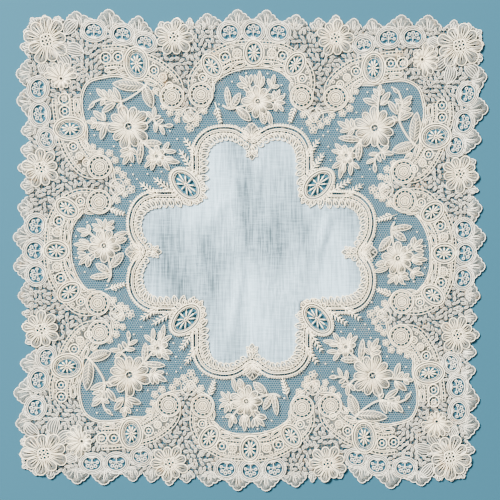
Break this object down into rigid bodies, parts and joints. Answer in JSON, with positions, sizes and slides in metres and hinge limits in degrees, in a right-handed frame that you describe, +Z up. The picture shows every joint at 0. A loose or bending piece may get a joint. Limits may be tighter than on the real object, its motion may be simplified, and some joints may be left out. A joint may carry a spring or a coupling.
{
  "type": "lace handkerchief",
  "caption": "Square handkerchief laid flat: a sheer lawn cross with round lobed arms in a wide needle lace border of net, flower sprays, arches with star wheels and a scalloped edge",
  "frame": {"origin": "the middle of the box of the flat cloth, on the surface that it lies on", "axes": "+Z up, out of the cloth's right side; +Y towards the edge that is uppermost in the picture; +X towards its right-hand edge"},
  "size_m": [0.377, 0.3826, 0.0023],
  "materials": {
    "lawn": "sheer plain weave",
    "net": "fine needle net",
    "lace": "close needle lace",
    "raised": "raised corded needle lace"
  },
  "bodies": {
    "root": {"lawn_centre": "lawn", "net_ground": "net", "lace_border": "lace", "lawn_band": "raised", "arch_north": "raised", "first_arm_north": "raised", "second_arm_north": "raised", "corner_flower_north": "raised", "fan_rose_north": "raised", "corner_spray_north": "raised", "side_spray_north": "raised", "side_rose_north_1": "raised", "side_rose_north_2": "raised", "arch_east": "raised", "first_arm_east": "raised", "second_arm_east": "raised", "corner_flower_east": "raised", "fan_rose_east": "raised", "corner_spray_east": "raised", "side_spray_east": "raised", "side_rose_east_1": "raised", "side_rose_east_2": "raised", "arch_south": "raised", "first_arm_south": "raised", "second_arm_south": "raised", "corner_flower_south": "raised", "fan_rose_south": "raised", "corner_spray_south": "raised", "side_spray_south": "raised", "side_rose_south_1": "raised", "side_rose_south_2": "raised", "arch_west": "raised", "first_arm_west": "raised", "second_arm_west": "raised", "corner_flower_west": "raised", "fan_rose_west": "raised", "corner_spray_west": "raised", "side_spray_west": "raised", "side_rose_west_1": "raised", "side_rose_west_2": "raised"}
  },
  "joints": []
}
